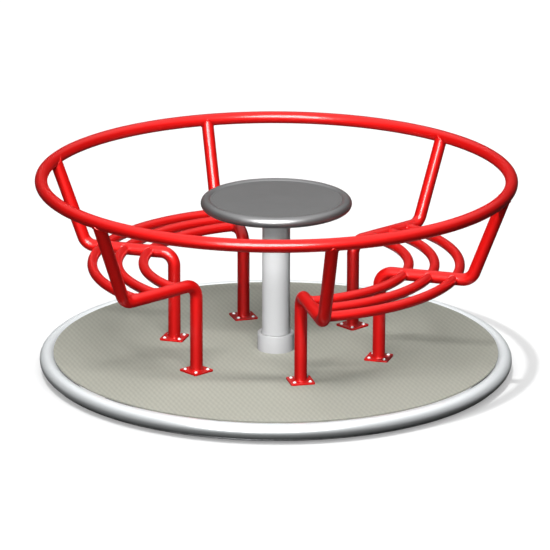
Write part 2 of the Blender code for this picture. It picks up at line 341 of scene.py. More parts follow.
# %% Weld the support to the handrail and to its plate
ring_tool = tube_ring("ring_tool", HANDRAIL_RADIUS, HANDRAIL_HEIGHT, HANDRAIL_TUBE - WELD_SINK)
ring_tool.rotation_euler.z = math.pi / RING_STEPS
cut_away(support, ring_tool)

up_tube = lean.normalized()
before_tube = Vector((0, 1, 0)).cross(up_tube)
top_path = []
outer_limit = HANDRAIL_RADIUS + HANDRAIL_TUBE - BEAD_INSET
for angle in round_steps():
    beside = SUPPORT_TUBE * math.cos(angle)
    before = SUPPORT_TUBE * math.sin(angle)
    ring_centre = Vector((math.sqrt(HANDRAIL_RADIUS**2 - beside**2), beside, HANDRAIL_HEIGHT))
    drop = math.sqrt(max(HANDRAIL_TUBE**2 - before**2, 0))
    place = ring_centre + before_tube * before - up_tube * drop
    place.x = min(place.x, outer_limit)
    top_path.append(place)
foot_path = [
    (LEG_RADIUS + SUPPORT_TUBE * math.cos(angle), SUPPORT_TUBE * math.sin(angle), PLATE_TOP)
    for angle in round_steps()
]
join_into(support, [weld_bead(top_path), weld_bead(foot_path)])
print("support with its welds:", len(support.data.polygons), "faces")

# %% Set the six supports round the platform
SUPPORT_ANGLES = {
    "right_middle": 0,
    "right_rear": 60,
    "left_rear": 125,
    "left_middle": 180,
    "left_front": 240,
    "right_front": 300,
}
for place, degrees in SUPPORT_ANGLES.items():
    copy = turned_copy(support, f"bent_support_{place}", degrees)
    hang(copy, "platform", "red_paint", f"support_{place}")
bpy.data.objects.remove(support, do_unlink=True)

# %% [markdown]
# Bench rails
#
# Three rails run side by side in each bay, bent to arcs about the platform's axis. They
# end against the seat members of two supports. One bay of three is modelled and copied to
# the others. The rear left bay is a little shorter, because its support stands a few
# degrees further round, so it is modelled to its own angle. The section has 26 sides:
# then none of its corners lies level with a corner of the cutting tool, which a Boolean
# handles badly.

# %% Bend, cope and weld a rail
RAIL_TUBE = 0.01685
RAIL_SIDES = 26
RAIL_STEPS_PER_DEGREE = 0.6
RAIL_START = SUPPORT_TUBE / 4
RAIL_ROWS = {"inner": 0.447, "middle": 0.534, "outer": 0.619}
MEMBER_SIDES = 48


def member_tool(degrees):
    """The seat member of the support at an angle, as a cutting tool."""
    bpy.ops.mesh.primitive_cylinder_add(
        vertices=MEMBER_SIDES,
        radius=SUPPORT_TUBE - WELD_SINK,
        depth=SEAT_CORNER_RADIUS - LEG_RADIUS,
        location=((SEAT_CORNER_RADIUS + LEG_RADIUS) / 2, 0, SEAT_HEIGHT),
        rotation=(0, QUARTER_TURN, 0),
    )
    bpy.ops.object.transform_apply(location=True, rotation=True, scale=True)
    tool = bpy.context.object
    tool.rotation_euler.z = math.radians(degrees)
    return tool


def saddle_path(row_radius, side):
    """Where a rail's surface meets the seat member at +X, on one side of it."""
    path = []
    for angle in round_steps():
        from_axis = row_radius + RAIL_TUBE * math.cos(angle)
        rise = RAIL_TUBE * math.sin(angle)
        reach = math.sqrt(SUPPORT_TUBE**2 - rise**2)
        path.append(Vector((math.sqrt(from_axis**2 - reach**2), side * reach, SEAT_HEIGHT + rise)))
    return path


def bench_rail(name, row_radius, bay_degrees):
    """One rail of a bay that starts at +X, coped and welded at both ends."""
    start_angle = RAIL_START / row_radius
    sweep = math.radians(bay_degrees) - 2 * start_angle
    start_from(
        bpy.ops.mesh.primitive_circle_add,
        vertices=RAIL_SIDES,
        radius=RAIL_TUBE,
        fill_type="NOTHING",
        location=(row_radius, 0, SEAT_HEIGHT),
        rotation=(QUARTER_TURN, 0, 0),
    )
    steps = round(bay_degrees * RAIL_STEPS_PER_DEGREE)
    bpy.ops.mesh.spin(steps=steps, angle=-sweep, center=(0, 0, 0), axis=(0, 0, 1))
    bpy.ops.mesh.select_all(action="SELECT")
    bpy.ops.mesh.fill_holes(sides=0)
    rail = finish_piece(name)
    rail.data.transform(Matrix.Rotation(start_angle, 4, "Z"))
    cut_away(rail, member_tool(0))
    cut_away(rail, member_tool(bay_degrees))
    first_bead = weld_bead(saddle_path(row_radius, 1))
    last_bead = weld_bead(saddle_path(row_radius, -1))
    last_bead.data.transform(Matrix.Rotation(math.radians(bay_degrees), 4, "Z"))
    return join_into(rail, [first_bead, last_bead])


# %% Fill the four bays
BAYS = {
    "right_rear_bay": ("right_middle", "right_rear"),
    "left_rear_bay": ("left_rear", "left_middle"),
    "left_front_bay": ("left_middle", "left_front"),
    "right_front_bay": ("right_front", "right_middle"),
}
for row, row_radius in RAIL_ROWS.items():
    models = {}
    for bay, (first, last) in BAYS.items():
        bay_degrees = (SUPPORT_ANGLES[last] - SUPPORT_ANGLES[first]) % 360
        if bay_degrees not in models:
            models[bay_degrees] = bench_rail("rail_model", row_radius, bay_degrees)
        rail = turned_copy(models[bay_degrees], f"bench_rail_{row}_{bay}", SUPPORT_ANGLES[first])
        hang(rail, "platform", "red_paint", f"rail_{row}_{bay}")
    for model in models.values():
        bpy.data.objects.remove(model, do_unlink=True)

# %% [markdown]
# Foot plates
#
# A square plate under each leg spreads its load on the deck. Each is cut from flat bar:
# a cube is stretched to its size, its four upright edges are rounded, and the rim of its
# top face gets the small soft edge that lets paint hold.

# %% Cut one foot plate and copy it
PLATE_WIDTH = 0.082
PLATE_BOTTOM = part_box("foot_plate_right_middle")[0].z
PLATE_CORNER = 0.006
PLATE_EDGE = 0.001


def is_upright(edge):
    """True for an edge that stands straight up."""
    first, last = (corner.co for corner in edge.verts)
    return abs(first.z - last.z) > MERGE_DISTANCE and (first - last).xy.length < MERGE_DISTANCE


def is_rim_at(height):
    """A test for edges that border a flat face at one height."""

    def test(edge):
        level = all(abs(corner.co.z - height) < MERGE_DISTANCE for corner in edge.verts)
        flat = [abs(face.normal.z) > FLAT_ENOUGH for face in edge.link_faces]
        return level and any(flat) and not all(flat)

    return test


start_from(
    bpy.ops.mesh.primitive_cube_add,
    stretch=(PLATE_WIDTH, PLATE_WIDTH, PLATE_TOP - PLATE_BOTTOM),
    size=1,
    location=(LEG_RADIUS, 0, (PLATE_TOP + PLATE_BOTTOM) / 2),
)
pick("EDGE", is_upright)
bpy.ops.mesh.bevel(offset=PLATE_CORNER, segments=CORNER_STEPS, affect="EDGES")
pick("EDGE", is_rim_at(PLATE_TOP))
bpy.ops.mesh.bevel(offset=PLATE_EDGE, segments=EDGE_STEPS, affect="EDGES")
plate = finish_piece("plate")
for place, degrees in SUPPORT_ANGLES.items():
    copy = turned_copy(plate, f"base_plate_{place}", degrees)
    hang(copy, "platform", "red_paint", f"foot_plate_{place}")
bpy.data.objects.remove(plate, do_unlink=True)

# %% [markdown]
# Bolts
#
# Four round-headed bolts hold each plate. They are small, but their bright heads catch
# the light at every foot. A washer is a short cylinder with a soft edge. The head is a
# ball, flattened, cut off where it meets the washer and again at the top, with a
# six-sided socket cut in. The sockets of a set are turned to different angles, as
# tightening leaves them.

# %% Make one bolt
WASHER_RADIUS = 0.0060
WASHER_THICKNESS = 0.0014
WASHER_EDGE = 0.0004
HEAD_RADIUS = 0.0048
HEAD_RISE = 0.0036
HEAD_FLAT = 0.0005
SOCKET_RADIUS = 0.0020
SOCKET_DEPTH = 0.0018
SOCKET_SIDES = 6
BOLT_SIDES = 24


def bolt_head():
    """A washer and a domed head on it, which stand at the origin."""
    start_from(
        bpy.ops.mesh.primitive_cylinder_add,
        vertices=BOLT_SIDES,
        radius=WASHER_RADIUS,
        depth=WASHER_THICKNESS,
        location=(0, 0, WASHER_THICKNESS / 2),
    )
    pick("EDGE", is_rim_at(WASHER_THICKNESS))
    bpy.ops.mesh.bevel(offset=WASHER_EDGE, segments=SMALL_EDGE_STEPS, affect="EDGES")
    washer = finish_piece("washer")

    start_from(
        bpy.ops.mesh.primitive_uv_sphere_add,
        stretch=(1, 1, HEAD_RISE / HEAD_RADIUS),
        segments=BOLT_SIDES,
        ring_count=BOLT_SIDES // 2,
        radius=HEAD_RADIUS,
    )
    bpy.ops.mesh.bisect(plane_co=(0, 0, 0), plane_no=(0, 0, 1), use_fill=True, clear_inner=True)
    bpy.ops.mesh.select_all(action="SELECT")
    flat_height = HEAD_RISE - HEAD_FLAT
    bpy.ops.mesh.bisect(
        plane_co=(0, 0, flat_height), plane_no=(0, 0, 1), use_fill=True, clear_outer=True
    )
    head = finish_piece("head")
    head.data.transform(Matrix.Translation((0, 0, WASHER_THICKNESS)))
    bpy.ops.mesh.primitive_cylinder_add(
        vertices=SOCKET_SIDES,
        radius=SOCKET_RADIUS,
        depth=2 * SOCKET_DEPTH,
        location=(0, 0, WASHER_THICKNESS + flat_height),
    )
    cut_away(head, bpy.context.object)
    return join_into(washer, [head])


# %% Bolt down the six plates
BOLT_OFFSET = 0.0265
SOCKET_TURN = math.radians(137.5)

bolt = bolt_head()
print("bolt:", len(bolt.data.polygons), "faces,", [round(side, 4) for side in bolt.dimensions])


def bolt_set(name, places, flip=False):
    """Copies of the bolt at several places, joined into one piece."""
    copies = []
    for step, place in enumerate(places):
        copy = turned_copy(bolt, name, math.degrees(SOCKET_TURN * step))
        if flip:
            copy.data.transform(Matrix.Rotation(math.pi, 4, "X"))
        copy.data.transform(Matrix.Translation(place))
        copies.append(copy)
    return join_into(copies[0], copies[1:])


plate_corners = [
    (LEG_RADIUS + out * BOLT_OFFSET, side * BOLT_OFFSET, PLATE_TOP)
    for out in (-1, 1)
    for side in (-1, 1)
]
plate_bolts = bolt_set("plate_bolts", plate_corners)
for place, degrees in SUPPORT_ANGLES.items():
    hang(turned_copy(plate_bolts, f"bolts_{place}", degrees), "platform", "rim_metal")
bpy.data.objects.remove(plate_bolts, do_unlink=True)

# %% [markdown]
# Flat rings and sleeves
#
# The deck, the ring under the rim, the hub's collar and the bearing under it all have a
# plain four-sided section. Cylinders with holes cut through would do, but their edges
# would then need rounding one by one. It is quicker to draw the section, round its four
# corners and spin it: the soft edges come with it, all the way round.

# %% Spin a flat section
DISC_STEPS = 256
HUB_STEPS = 96
DECK_HOLE = 0.0623
BAND_HOLE = 0.700
COLLAR_BORE = 0.048
BEARING_BORE = 0.0473
DECK_EDGE = 0.0008
COLLAR_EDGE = 0.0028
MACHINED_EDGE = 0.0010


def flat_ring(name, node, inner_radius, edge, steps=DISC_STEPS):
    """A ring with a rectangular section as high and as wide as its solid."""
    low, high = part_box(node)
    start_from(
        bpy.ops.mesh.primitive_plane_add,
        stretch=(high.x - inner_radius, high.z - low.z, 1),
        size=1,
        location=((high.x + inner_radius) / 2, 0, (high.z + low.z) / 2),
        rotation=(QUARTER_TURN, 0, 0),
    )
    bpy.ops.mesh.bevel(offset=edge, segments=EDGE_STEPS, affect="VERTICES")
    bpy.ops.mesh.delete(type="ONLY_FACE")
    bpy.ops.mesh.select_all(action="SELECT")
    bpy.ops.mesh.spin(steps=steps, angle=math.tau, center=(0, 0, 0), axis=(0, 0, 1))
    return finish_piece(name)


deck = flat_ring("deck", "deck_panel", DECK_HOLE, DECK_EDGE)
hang(deck, "platform", "deck", "deck_panel")
base_band = flat_ring("base_band", "base_ring", BAND_HOLE, MACHINED_EDGE)
hang(base_band, "platform", "steel", "base_ring")
collar = flat_ring("hub_sleeve", "hub_collar", COLLAR_BORE, COLLAR_EDGE, HUB_STEPS)
hang(collar, "platform", "post_paint", "hub_collar")
bearing = flat_ring("thrust_bearing", "bearing_ring", BEARING_BORE, MACHINED_EDGE, HUB_STEPS)
hang(bearing, "base", "steel", "bearing_ring")

# %% [markdown]
# Solid turned parts
#
# The post, the head plate under the table and the ground plate are solid discs of very
# different heights. Each is a cylinder with its two rims rounded. The ground plate also
# has six countersunk holes for the screws that hold the roundabout down, and the head
# plate is bolted up into the table from below.

# %% Turn the post and the plates
POST_SIDES = 96
HEAD_PLATE_EDGE = 0.0012


def solid_disc(name, node, edge, sides=POST_SIDES):
    """A round solid as wide and as high as its node, with soft rims."""
    low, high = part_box(node)
    start_from(
        bpy.ops.mesh.primitive_cylinder_add,
        vertices=sides,
        radius=high.x,
        depth=high.z - low.z,
        location=(0, 0, (high.z + low.z) / 2),
    )
    bottom_rim = is_rim_at(low.z)
    top_rim = is_rim_at(high.z)
    pick("EDGE", lambda border: bottom_rim(border) or top_rim(border))
    bpy.ops.mesh.bevel(offset=edge, segments=EDGE_STEPS, affect="EDGES")
    return finish_piece(name)


post = solid_disc("post", "centre_post", MACHINED_EDGE)
hang(post, "base", "post_paint", "centre_post")
head_plate = solid_disc("table_head_plate", "table_flange", HEAD_PLATE_EDGE)
hang(head_plate, "base", "post_paint", "table_flange")

# %% Drill the ground plate and bolt up the table
SCREW_CIRCLE = 0.270
SCREW_COUNT = 6
SCREW_HOLE = 0.0065
SCREW_SINK = 0.0125
HEAD_BOLT_CIRCLE = 0.072
HEAD_BOLT_COUNT = 4
GROUND_SIDES = 144


def spots_on_circle(radius, count, height):
    """Places evenly round the axis, the first half a step from +X."""
    angles = [math.tau * (step + 0.5) / count for step in range(count)]
    return [(radius * math.cos(angle), radius * math.sin(angle), height) for angle in angles]


ground = solid_disc("ground_disc", "ground_plate", MACHINED_EDGE, GROUND_SIDES)
ground_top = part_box("ground_plate")[1].z
for spot in spots_on_circle(SCREW_CIRCLE, SCREW_COUNT, ground_top / 2):
    bpy.ops.mesh.primitive_cone_add(
        vertices=BOLT_SIDES,
        radius1=SCREW_HOLE,
        radius2=SCREW_SINK,
        depth=2 * ground_top,
        location=spot,
    )
    cut_away(ground, bpy.context.object)
hang(ground, "base", "steel", "ground_plate")

head_plate_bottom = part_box("table_flange")[0].z
head_spots = spots_on_circle(HEAD_BOLT_CIRCLE, HEAD_BOLT_COUNT, head_plate_bottom)
hang(bolt_set("table_bolts", head_spots, flip=True), "base", "rim_metal")
bpy.data.objects.remove(bolt, do_unlink=True)

# %% [markdown]
# Table panel
#
# The table's top is a flat dark panel that sits a few millimetres down inside the rolled
# edge. It is a disc whose side leans outwards to follow the roll. The top face is inset
# three times, and the middle one of the new loops is pushed down, which leaves the fine
# line that runs just inside the edge of the real panel.

# %% Press the table panel
PANEL_CLEARANCE = 0.0003
PANEL_LINE_INSET = 0.0065
PANEL_LINE_WIDTH = 0.0018
PANEL_LINE_DEPTH = 0.0007
PANEL_EDGE = 0.0006

panel_low, panel_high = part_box("table_panel")


def radius_beside_roll(height):
    """How far out the panel may reach at a height, just clear of the roll."""
    rise = height - ROLL_HEIGHT
    return ROLL_RADIUS - math.sqrt((ROLL_TUBE + PANEL_CLEARANCE) ** 2 - rise**2)


start_from(
    bpy.ops.mesh.primitive_cone_add,
    vertices=RING_STEPS,
    radius1=radius_beside_roll(panel_low.z),
    radius2=radius_beside_roll(panel_high.z),
    depth=panel_high.z - panel_low.z,
    location=(0, 0, (panel_high.z + panel_low.z) / 2),
)
pick("FACE", lambda face: face.normal.z > FLAT_ENOUGH)
bpy.ops.mesh.inset(thickness=PANEL_LINE_INSET)
bpy.ops.mesh.inset(thickness=PANEL_LINE_WIDTH / 2)
bpy.ops.mesh.inset(thickness=PANEL_LINE_WIDTH / 2)
line_radius = radius_beside_roll(panel_high.z) - PANEL_LINE_INSET - PANEL_LINE_WIDTH / 2


def is_in_line(corner):
    """True for the middle loop of the pressed line."""
    on_top = corner.co.z > panel_high.z - MERGE_DISTANCE
    return on_top and abs(corner.co.xy.length - line_radius) < PANEL_LINE_WIDTH / 4


pick("VERT", is_in_line)
bpy.ops.transform.translate(value=(0, 0, -PANEL_LINE_DEPTH))
is_top_rim = is_rim_at(panel_high.z)


def is_outer_rim(edge):
    """True for the rim of the top face, but not for the edges of the pressed line."""
    return is_top_rim(edge) and edge.verts[0].co.xy.length > line_radius + PANEL_LINE_WIDTH


pick("EDGE", is_outer_rim)
bpy.ops.mesh.bevel(offset=PANEL_EDGE, segments=SMALL_EDGE_STEPS, affect="EDGES")
panel = finish_piece("table_top")
hang(panel, "base", "table_panel", "table_panel")

# %% [markdown]
# Beams under the deck
#
# Six box tubes run from the hub to the rim and carry the deck. They show only from low
# down and from below, but the roundabout is looked at from there too. Each is a cube
# stretched to size with its four long edges rounded, as rolled box tube has them.

# %% Roll one beam and copy it
BEAM_CORNER = 0.0035
BEAM_CORNER_STEPS = 4

beam_low, beam_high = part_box("deck_beam_right_middle")
start_from(
    bpy.ops.mesh.primitive_cube_add,
    stretch=tuple(beam_high - beam_low),
    size=1,
    location=(beam_high + beam_low) / 2,
)
pick("EDGE", lambda edge: abs(edge.verts[0].co.x - edge.verts[1].co.x) > BEAM_CORNER)
bpy.ops.mesh.bevel(offset=BEAM_CORNER, segments=BEAM_CORNER_STEPS, affect="EDGES")
beam = finish_piece("beam")
for place, degrees in SUPPORT_ANGLES.items():
    copy = turned_copy(beam, f"box_beam_{place}", degrees)
    hang(copy, "platform", "steel", f"deck_beam_{place}")
bpy.data.objects.remove(beam, do_unlink=True)

# %% [markdown]
# Sums on materials
#
# A finish is a net of nodes, and long nets are hard to read. Two small classes make them
# read like sums. Wire stands for a value that changes over the surface, so that masks and
# patterns can be added and multiplied in plain Python. Finish makes any node from its
# type, its settings and what goes into its sockets. All patterns lie on Object
# coordinates, in metres, so that they stay on the piece when it moves.

# %% Wire and Finish
class Wire:
    """A value that changes over a surface, for use in sums."""

    def __init__(self, finish, socket):
        self.finish = finish
        self.socket = socket

    def maths(self, operation, first, second):
        return self.finish.node("ShaderNodeMath", {"operation": operation}, {0: first, 1: second})

    def __add__(self, other):
        return self.maths("ADD", self, other)

    def __rsub__(self, other):
        return self.maths("SUBTRACT", other, self)

    def __mul__(self, other):
        return self.maths("MULTIPLY", self, other)

    __radd__ = __add__
    __rmul__ = __mul__


class Finish:
    """A material with one shader, and the nodes that feed it."""

    def __init__(self, slot, fixed):
        self.slot = slot
        self.material = bpy.data.materials.new(slot)
        self.material.use_nodes = True
        self.tree = self.material.node_tree
        self.shader = self.tree.nodes["Principled BSDF"]
        self.feed(fixed)

    def plug(self, socket, value):
        if isinstance(value, Wire):
            self.tree.links.new(value.socket, socket)
        else:
            socket.default_value = value

    def feed(self, values):
        """Set or link the shader's own sockets."""
        for name, value in values.items():
            self.plug(self.shader.inputs[name], value)

    def node(self, kind, settings, values, output=0):
        made = self.tree.nodes.new(kind)
        for name, setting in settings.items():
            setattr(made, name, setting)
        for key, value in values.items():
            self.plug(made.inputs[key], value)
        return Wire(self, made.outputs[output])

    def place(self, turn=0.0, scale=(1, 1, 1)):
        """Where each point lies on the piece, turned about the axis and stretched."""
        where = self.node("ShaderNodeTexCoord", {}, {}, "Object")
        values = {"Vector": where, "Rotation": (0, 0, turn), "Scale": scale}
        return self.node("ShaderNodeMapping", {}, values)

    def along(self, axis, turn=0.0):
        """One coordinate of each point, in metres."""
        return self.node("ShaderNodeSeparateXYZ", {}, {0: self.place(turn)}, axis)

    def noise(self, size, detail=2.0, stretch=(1, 1, 1)):
        """Cloudy variation from 0 to 1, in patches of about one size."""
        values = {"Vector": self.place(scale=stretch), "Scale": 1 / size, "Detail": detail}
        return self.node("ShaderNodeTexNoise", {}, values)

    def mask(self, value, low, high):
        """A smooth step from 0 at one value to 1 at another."""
        values = {"Value": value, "From Min": low, "From Max": high}
        return self.node("ShaderNodeMapRange", {"interpolation_type": "SMOOTHSTEP"}, values)

    def mix(self, mask, first, second):
        """One colour where the mask is 0, the other where it is 1."""
        settings = {"data_type": "RGBA"}
        return self.node("ShaderNodeMix", settings, {0: mask, 6: first, 7: second}, 2)

    def bump(self, height, depth):
        """Relief: a height from 0 to 1, times its depth in metres."""
        return self.node("ShaderNodeBump", {}, {"Height": height, "Distance": depth})

    def dress(self):
        """Give the finish to every piece of its slot."""
        chosen = [piece for piece in dressed if piece["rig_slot"] == self.slot]
        for piece in chosen:
            piece.data.materials.clear()
            piece.data.materials.append(self.material)
        print(f"{self.slot}: {len(self.tree.nodes)} nodes on {len(chosen)} pieces")


def colour(red, green, blue):
    """A colour as Blender keeps it, with full cover."""
    return (red, green, blue, 1.0)


# %% [markdown]
# Red powder coat
#
# The tubes are coated with red powder, baked on. It is a deep, even red under a thin clear
# shine. What gives it life is small: the faint orange-peel relief that powder leaves as it
# melts, a slow change of shade, a colour that grows darker down the legs towards the deck,
# and hands and clothes that keep the handrail and the seats a little shinier. One glossy
# layer would turn the red pink wherever it mirrors a wide lamp. So the base reflects very
# little, and a clear coat on it makes the narrow highlights.

# %% Mix the red powder coat
FRESH_RED = colour(0.86, 0.006, 0.005)
DEEP_RED = colour(0.77, 0.005, 0.004)
LOW_DARK_RED = colour(0.50, 0.006, 0.005)
SHADE_PATCH = 0.16
DULL_PATCH = 0.05
DARKEST_BELOW = 0.04
DARKENING_ENDS = 0.36
RUBBED_FROM = SEAT_HEIGHT - 0.03
RUBBED_FULLY = SEAT_HEIGHT + 0.01
PEEL_SIZE = 0.0028
PEEL_DEPTH = 0.00006

red = Finish("red_paint", {"Metallic": 0.25, "Specular IOR Level": 0.1, "Coat Roughness": 0.18})
red_colour = red.mix(red.noise(SHADE_PATCH), FRESH_RED, DEEP_RED)
height = red.along("Z")
rubbed = red.mask(height, RUBBED_FROM, RUBBED_FULLY)
# The colour grows darker from the seats down towards the deck.
darker_low = 1 - red.mask(height, DARKEST_BELOW, DARKENING_ENDS)
red.feed({
    "Base Color": red.mix(0.6 * darker_low, red_colour, LOW_DARK_RED),
    "Roughness": 0.50 - 0.06 * rubbed + 0.05 * red.noise(DULL_PATCH),
    "Coat Weight": 0.50 + 0.10 * rubbed,
    "Normal": red.bump(red.noise(PEEL_SIZE, detail=1.0), PEEL_DEPTH),
})
red.dress()

# %% [markdown]
# Bright rim
#
# The rim is satin steel, brushed the way it was bent. Its colour is painted darker and
# darker towards the underside: painted shade, in place of the dark ground that the
# underside would mirror. The brushing is a noise stretched flat, so that its streaks
# run round the tube.

# %% Brush the bright rim
BRIGHT_STEEL = colour(0.93, 0.96, 0.97)
STREAKED_STEEL = colour(0.88, 0.915, 0.93)
PAINTED_SHADE_STEEL = colour(0.28, 0.29, 0.295)
PAINTED_SHADE_BELOW = 0.012
UNSHADED_ABOVE = 0.052
SHADE_LINE_WAVE = 0.003
SHADE_LINE_PATCH = 0.09
STREAK_SIZE = 0.02
STREAK_STRETCH = (1, 1, 30)
STREAK_DEPTH = 0.00002

rim_finish = Finish("rim_metal", {"Metallic": 0.3})
streaks = rim_finish.noise(STREAK_SIZE, detail=3.0, stretch=STREAK_STRETCH)
# Below a wavy line the steel is painted darker: painted shade on the underside.
shade_line = rim_finish.along("Z") + SHADE_LINE_WAVE * rim_finish.noise(SHADE_LINE_PATCH)
above_painted_shade = rim_finish.mask(shade_line, PAINTED_SHADE_BELOW, UNSHADED_ABOVE)
rim_finish.feed({
    "Base Color": rim_finish.mix(
        above_painted_shade, PAINTED_SHADE_STEEL, rim_finish.mix(streaks, STREAKED_STEEL, BRIGHT_STEEL)
    ),
    "Roughness": 0.34 - 0.08 * above_painted_shade + 0.10 * streaks,
    "Normal": rim_finish.bump(streaks, STREAK_DEPTH),
})
rim_finish.dress()

# %% [markdown]
# Anti-slip deck
#
# The deck is covered with a hard grey-beige sheet, ribbed so that wet shoes grip. The
# ribs are too fine and too many to model, so they are relief: one strong set of slanting
# lines, crossed by a faint one. A sine of the distance across the lines gives each rib a
# round back. A noise added to that distance lets the lines wander a little, as they do in
# pressed sheet. The grooves are also coloured a little darker than the ribs. A mask on the
# height keeps the ribs to the top.

# %% Rib the deck
RIB_PITCH = 0.0165
RIB_TURN = math.radians(-37)
CROSS_TURN = math.radians(-3)
WAVE = math.tau / RIB_PITCH
RIB_WANDER = 3.5
WANDER_PATCH = 0.05
RIB_DEPTH = 0.0006
TOP_BAND = (DECK_TOP - 0.002, DECK_TOP - 0.001)
GRAIN_SIZE = 0.006
WORN_PATCH = 0.22
RIB_BEIGE = colour(0.54, 0.53, 0.455)
WORN_BEIGE = colour(0.49, 0.48, 0.41)
GROOVE_DARK = colour(0.34, 0.335, 0.29)
GROOVE_PALE = colour(0.40, 0.395, 0.345)

deck_finish = Finish("deck", {"Specular IOR Level": 0.3})


def rib_wave(turn):
    """Round-backed, slightly wavy lines across one direction, from 0 to 1."""
    angle = WAVE * deck_finish.along("X", turn) + RIB_WANDER * deck_finish.noise(WANDER_PATCH)
    return 0.5 + 0.5 * deck_finish.node("ShaderNodeMath", {"operation": "SINE"}, {0: angle})


on_top = deck_finish.mask(deck_finish.along("Z"), *TOP_BAND)
ribs = (0.68 * rib_wave(RIB_TURN) + 0.32 * rib_wave(CROSS_TURN)) * on_top
grain = deck_finish.noise(GRAIN_SIZE, detail=3.0)
rib_colour = deck_finish.mix(deck_finish.noise(WORN_PATCH), RIB_BEIGE, WORN_BEIGE)
groove_colour = deck_finish.mix(grain, GROOVE_DARK, GROOVE_PALE)
deck_finish.feed({
    "Base Color": deck_finish.mix(0.40 + 0.50 * ribs, groove_colour, rib_colour),
    "Roughness": 0.62 + 0.2 * grain,
    "Normal": deck_finish.bump(ribs + 0.1 * grain, RIB_DEPTH),
})
deck_finish.dress()

# %% [markdown]
# Grey post
#
# The post, its collar and its head plate have a satin light grey coat. Low down, on the
# collar and the foot of the post, the coat is painted darker: painted shade. Shoes scuff
# that part too, which leaves dull broken patches in it. A very fine grain stands for the
# powder.

# %% Coat the post
POST_GREY = colour(0.75, 0.755, 0.76)
SHADE_AND_SCUFF_GREY = colour(0.54, 0.54, 0.54)
SHADE_TOP = 0.20
SHADE_BOTTOM = 0.06
SCUFF_SIZE = 0.03
SCUFF_EDGE = (0.55, 0.75)
POWDER_SIZE = 0.0025
POWDER_DEPTH = 0.00003

post_finish = Finish("post_paint", {"Specular IOR Level": 0.2, "Coat Roughness": 0.2})
scuffs = post_finish.noise(SCUFF_SIZE, detail=4.0)
# The coat is painted darker low down: painted shade on the collar and the post's foot.
painted_shade_low = 1 - post_finish.mask(post_finish.along("Z"), SHADE_BOTTOM, SHADE_TOP)
scuffed = painted_shade_low * post_finish.mask(scuffs, *SCUFF_EDGE)
post_finish.feed({
    "Base Color": post_finish.mix(0.8 * painted_shade_low + 0.2 * scuffed, POST_GREY, SHADE_AND_SCUFF_GREY),
    "Roughness": 0.36 + 0.2 * scuffed + 0.06 * scuffs,
    "Coat Weight": 0.08 - 0.05 * scuffed,
    "Normal": post_finish.bump(post_finish.noise(POWDER_SIZE), POWDER_DEPTH),
})
post_finish.dress()

# %% [markdown]
# Dark table
#
# The panel is a matt dark plastic with a fine pebbled grain. The rolled edge is painted
# in a dark grey too, but smoother and with metal flakes in it, so it draws a line of
# light where it faces the sky.

# %% Finish the panel
PANEL_DARK = colour(0.142, 0.143, 0.143)
PANEL_PALE = colour(0.164, 0.165, 0.165)
PANEL_PATCH = 0.07
PEBBLE_SIZE = 0.0022
PEBBLE_DEPTH = 0.00015

panel_finish = Finish("table_panel", {"Specular IOR Level": 0.35})
pebble = panel_finish.noise(PEBBLE_SIZE)
panel_finish.feed({
    "Base Color": panel_finish.mix(panel_finish.noise(PANEL_PATCH), PANEL_DARK, PANEL_PALE),
    "Roughness": 0.60 + 0.12 * pebble,
    "Normal": panel_finish.bump(pebble, PEBBLE_DEPTH),
})
panel_finish.dress()

# %% Finish the rolled edge
ROLL_DARK = colour(0.21, 0.21, 0.212)
ROLL_PALE = colour(0.25, 0.25, 0.252)
ROLL_PATCH = 0.10
FLAKE_PATCH = 0.02
FLAKE_SIZE = 0.003
FLAKE_DEPTH = 0.00003

roll_finish = Finish("table_roll", {"Metallic": 0.7})
roll_finish.feed({
    "Base Color": roll_finish.mix(roll_finish.noise(ROLL_PATCH), ROLL_DARK, ROLL_PALE),
    "Roughness": 0.36 + 0.08 * roll_finish.noise(FLAKE_PATCH, detail=3.0),
    "Normal": roll_finish.bump(roll_finish.noise(FLAKE_SIZE), FLAKE_DEPTH),
})
roll_finish.dress()

# %% [markdown]
# Galvanised steel
#
# The underframe is dipped in zinc, which sets in flat crystals a centimetre or two
# across. A Voronoi pattern gives each crystal its own shade and shine, and a soft noise
# dulls them in patches where the zinc has weathered.

# %% Galvanise the underframe
ZINC_DARK = colour(0.36, 0.37, 0.38)
ZINC_PALE = colour(0.50, 0.51, 0.52)
WEATHERED_ZINC = colour(0.30, 0.30, 0.30)
CRYSTALS_PER_METRE = 70.0
CRYSTAL_DEPTH = 0.00004
WEATHER_PATCH = 0.12
WEATHER_EDGE = (0.45, 0.7)

steel = Finish("steel", {"Metallic": 1.0})
cells = {"Vector": steel.place(), "Scale": CRYSTALS_PER_METRE, "Randomness": 1.0}
crystals = steel.node("ShaderNodeTexVoronoi", {}, cells, "Color")
crystal_shade = steel.node("ShaderNodeSeparateColor", {}, {0: crystals}, 0)
weathered = steel.mask(steel.noise(WEATHER_PATCH, detail=3.0), *WEATHER_EDGE)
zinc = steel.mix(crystal_shade, ZINC_DARK, ZINC_PALE)
steel.feed({
    "Base Color": steel.mix(0.6 * weathered, zinc, WEATHERED_ZINC),
    "Roughness": 0.36 + 0.14 * crystal_shade + 0.15 * weathered,
    "Normal": steel.bump(crystal_shade, CRYSTAL_DEPTH),
})
steel.dress()

# %% [markdown]
# Floor
#
# The roundabout stands on a plain pale floor. Left to themselves, such a floor and the
# pale deck would throw so much light back up that the tubes lose their dark undersides,
# and the red tubes would tint the post and the deck. So the floor, the deck and the red
# tubes are hidden from bounced light, and the floor and the deck from reflections too.

# %% Lay the floor
FLOOR_SIZE = 80
FLOOR_GREY = colour(0.93, 0.93, 0.93)

